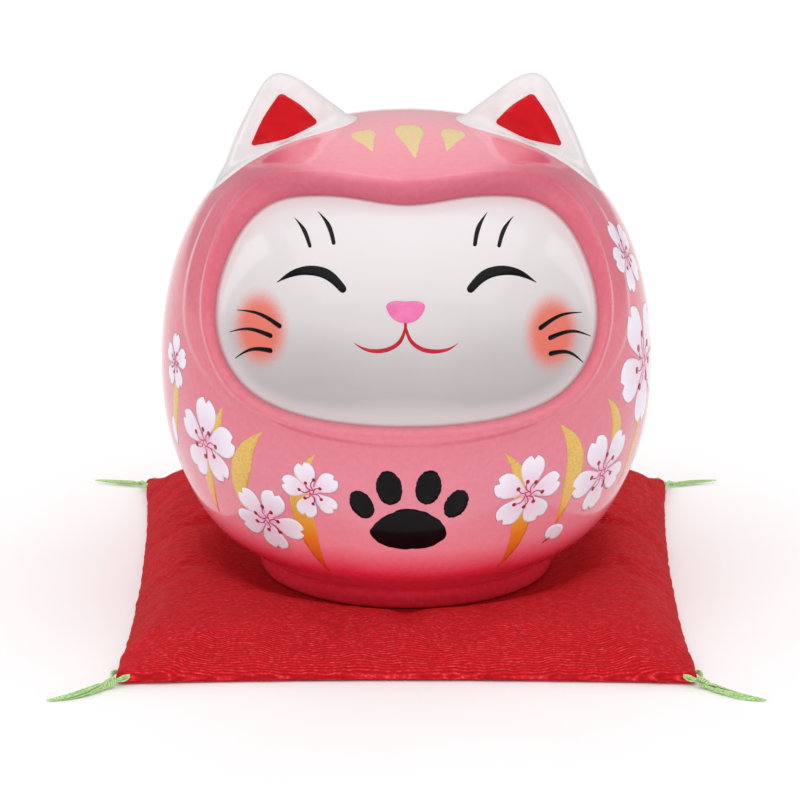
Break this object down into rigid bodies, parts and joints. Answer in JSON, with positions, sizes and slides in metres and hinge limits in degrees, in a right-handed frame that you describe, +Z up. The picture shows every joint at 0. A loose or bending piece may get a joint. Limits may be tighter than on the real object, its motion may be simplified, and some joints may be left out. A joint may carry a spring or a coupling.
{
  "type": "cat figurine",
  "caption": "Round hollow ceramic cat ornament with a hooded face, two ears and a foot ring, standing on a square padded crepe cushion with corner tassels.",
  "frame": {"origin": "middle of the cushion's underside, on the surface that it rests on", "axes": "+Z up, the cat looks along -Y, +X to the right as seen from the front"},
  "size_m": [0.1396, 0.1357, 0.1083],
  "materials": {
    "pink_glaze": "glossy fired glaze on stoneware, pink above and crimson at the foot, modelled as a gloss surface",
    "white_glaze": "glossy white glaze on the face panel and the ears",
    "red_enamel": "glossy red enamel inside the ears and on the mouth",
    "black_enamel": "black brush-painted enamel",
    "gold_leaf": "fired gold lustre, turning orange red at the tips of the leaves",
    "petal_enamel": "raised white and lilac enamel with pink centres",
    "pink_enamel": "glossy pink enamel on the nose",
    "red_crepe": "wrinkled silk-like crepe",
    "wadding": "polyester wadding",
    "pale_thread": "fine sewing thread",
    "green_thread": "soft pale green embroidery thread"
  },
  "bodies": {
    "cushion": {"cushion_top_cloth": "red_crepe", "cushion_bottom_cloth": "red_crepe", "cushion_wadding": "wadding", "closing_stitches": "pale_thread", "tassel_loop_front_left": "green_thread", "tassel_loop_front_right": "green_thread", "tassel_loop_rear_left": "green_thread", "tassel_loop_rear_right": "green_thread"},
    "figurine": {"body_shell": "pink_glaze", "left_ear": "pink_glaze", "right_ear": "pink_glaze"},
    "tassel_front_left": {"tassel_knot_front_left": "green_thread", "tassel_tail_front_left": "green_thread"},
    "tassel_front_right": {"tassel_knot_front_right": "green_thread", "tassel_tail_front_right": "green_thread"},
    "tassel_rear_left": {"tassel_knot_rear_left": "green_thread", "tassel_tail_rear_left": "green_thread"},
    "tassel_rear_right": {"tassel_knot_rear_right": "green_thread", "tassel_tail_rear_right": "green_thread"}
  },
  "joints": [
    {"name": "figurine_lift", "type": "slide", "parent": "cushion", "child": "figurine", "axis": [0, 0, 1], "range_m": [0, 0.06]},
    {"name": "tassel_front_left_swing", "type": "hinge", "parent": "cushion", "child": "tassel_front_left", "pos_m": [-0.05747, -0.06227, 0.0021], "axis": [-0.5299, 0.848, 0], "range_deg": [0, 90]},
    {"name": "tassel_front_right_swing", "type": "hinge", "parent": "cushion", "child": "tassel_front_right", "pos_m": [0.05747, -0.06227, 0.0021], "axis": [-0.5299, -0.848, 0], "range_deg": [0, 90]},
    {"name": "tassel_rear_left_swing", "type": "hinge", "parent": "cushion", "child": "tassel_rear_left", "pos_m": [-0.05747, 0.06227, 0.0021], "axis": [0.2756, 0.9613, 0], "range_deg": [0, 90]},
    {"name": "tassel_rear_right_swing", "type": "hinge", "parent": "cushion", "child": "tassel_rear_right", "pos_m": [0.05747, 0.06227, 0.0021], "axis": [0.2756, -0.9613, 0], "range_deg": [0, 90]}
  ]
}
